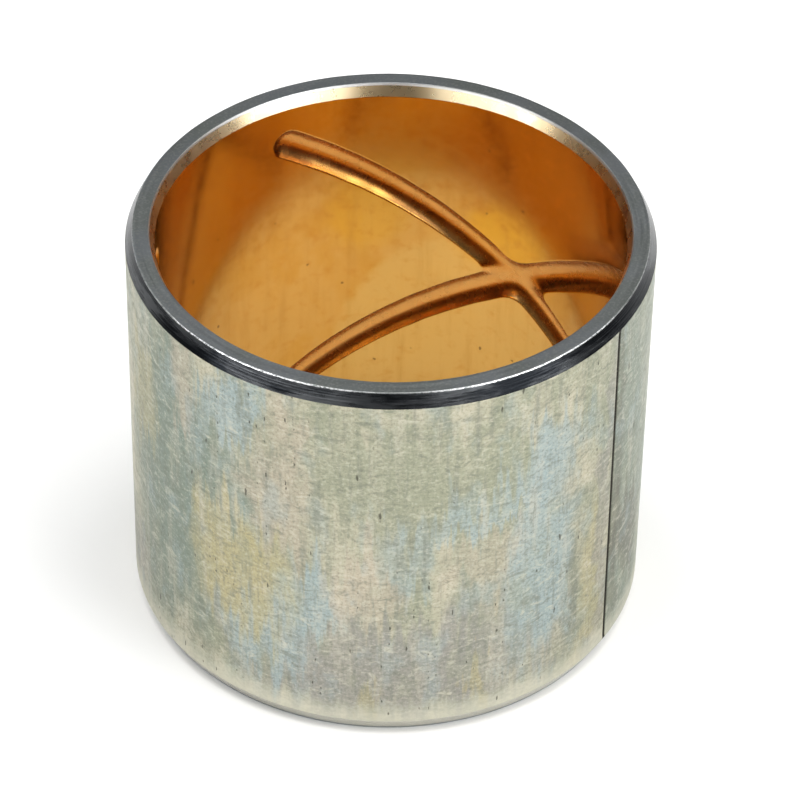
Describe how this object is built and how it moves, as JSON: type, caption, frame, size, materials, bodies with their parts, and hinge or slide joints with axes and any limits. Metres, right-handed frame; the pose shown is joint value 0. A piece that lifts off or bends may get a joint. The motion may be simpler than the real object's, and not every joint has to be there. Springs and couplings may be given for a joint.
{
  "type": "wrapped sleeve bushing",
  "caption": "Rolled sleeve bushing: steel backing with a bonded bronze lining, butt seam, tin-plated outside and crossed oil grooves in the bore.",
  "frame": {"origin": "on the bore axis at the lower end face", "axes": "+Z along the bore axis to the upper end face, +X through the butt seam"},
  "size_m": [0.045, 0.045, 0.038],
  "materials": {
    "backing_steel": "fine-turned bare low-carbon steel",
    "lining_bronze": "rolled leaded bronze, lightly streaked",
    "tin_plating": "thin matt tin flash over rolled steel, stained and streaked"
  },
  "bodies": {
    "root": {"steel_backing": "backing_steel", "bronze_lining": "lining_bronze", "tin_flash_plating": "tin_plating"}
  },
  "joints": []
}
